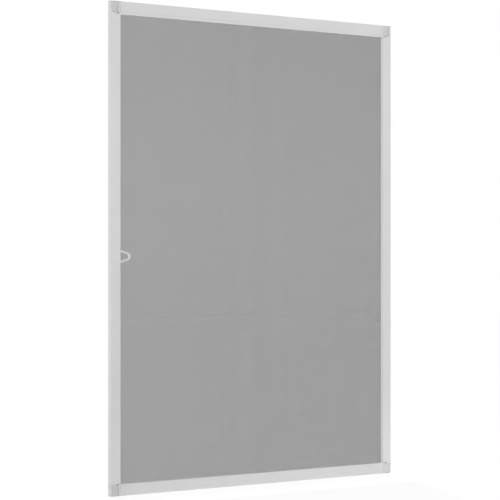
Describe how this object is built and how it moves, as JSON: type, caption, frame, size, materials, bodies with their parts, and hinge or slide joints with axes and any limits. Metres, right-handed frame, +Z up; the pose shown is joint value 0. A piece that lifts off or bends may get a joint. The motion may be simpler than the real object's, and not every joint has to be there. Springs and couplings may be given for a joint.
{
  "type": "window screen frame",
  "caption": "Upright fixed insect screen for a window: slim white aluminium frame with moulded corner connectors, dark glass-fibre screening and a small loop pull tab on one stile.",
  "frame": {"origin": "middle of the frame's bottom edge, half way through its depth", "axes": "+Z up along the stiles, +X to the right seen from the front, +Y through the depth to the back; the front, with the pull tab in front of the screening, faces -Y"},
  "size_m": [1, 0.011, 1.2],
  "materials": {
    "frame_profile": "satin",
    "corner_moulding": "satin",
    "spline_cord": "matte",
    "screening": "matte",
    "pull_tab": "satin"
  },
  "bodies": {
    "root": {"left_stile": "frame_profile", "right_stile": "frame_profile", "top_rail": "frame_profile", "bottom_rail": "frame_profile", "corner_bottom_left": "corner_moulding", "corner_bottom_right": "corner_moulding", "corner_top_left": "corner_moulding", "corner_top_right": "corner_moulding", "spline_left": "spline_cord", "spline_right": "spline_cord", "spline_top": "spline_cord", "spline_bottom": "spline_cord", "insect_mesh": "screening", "pull_tab": "pull_tab"}
  },
  "joints": []
}
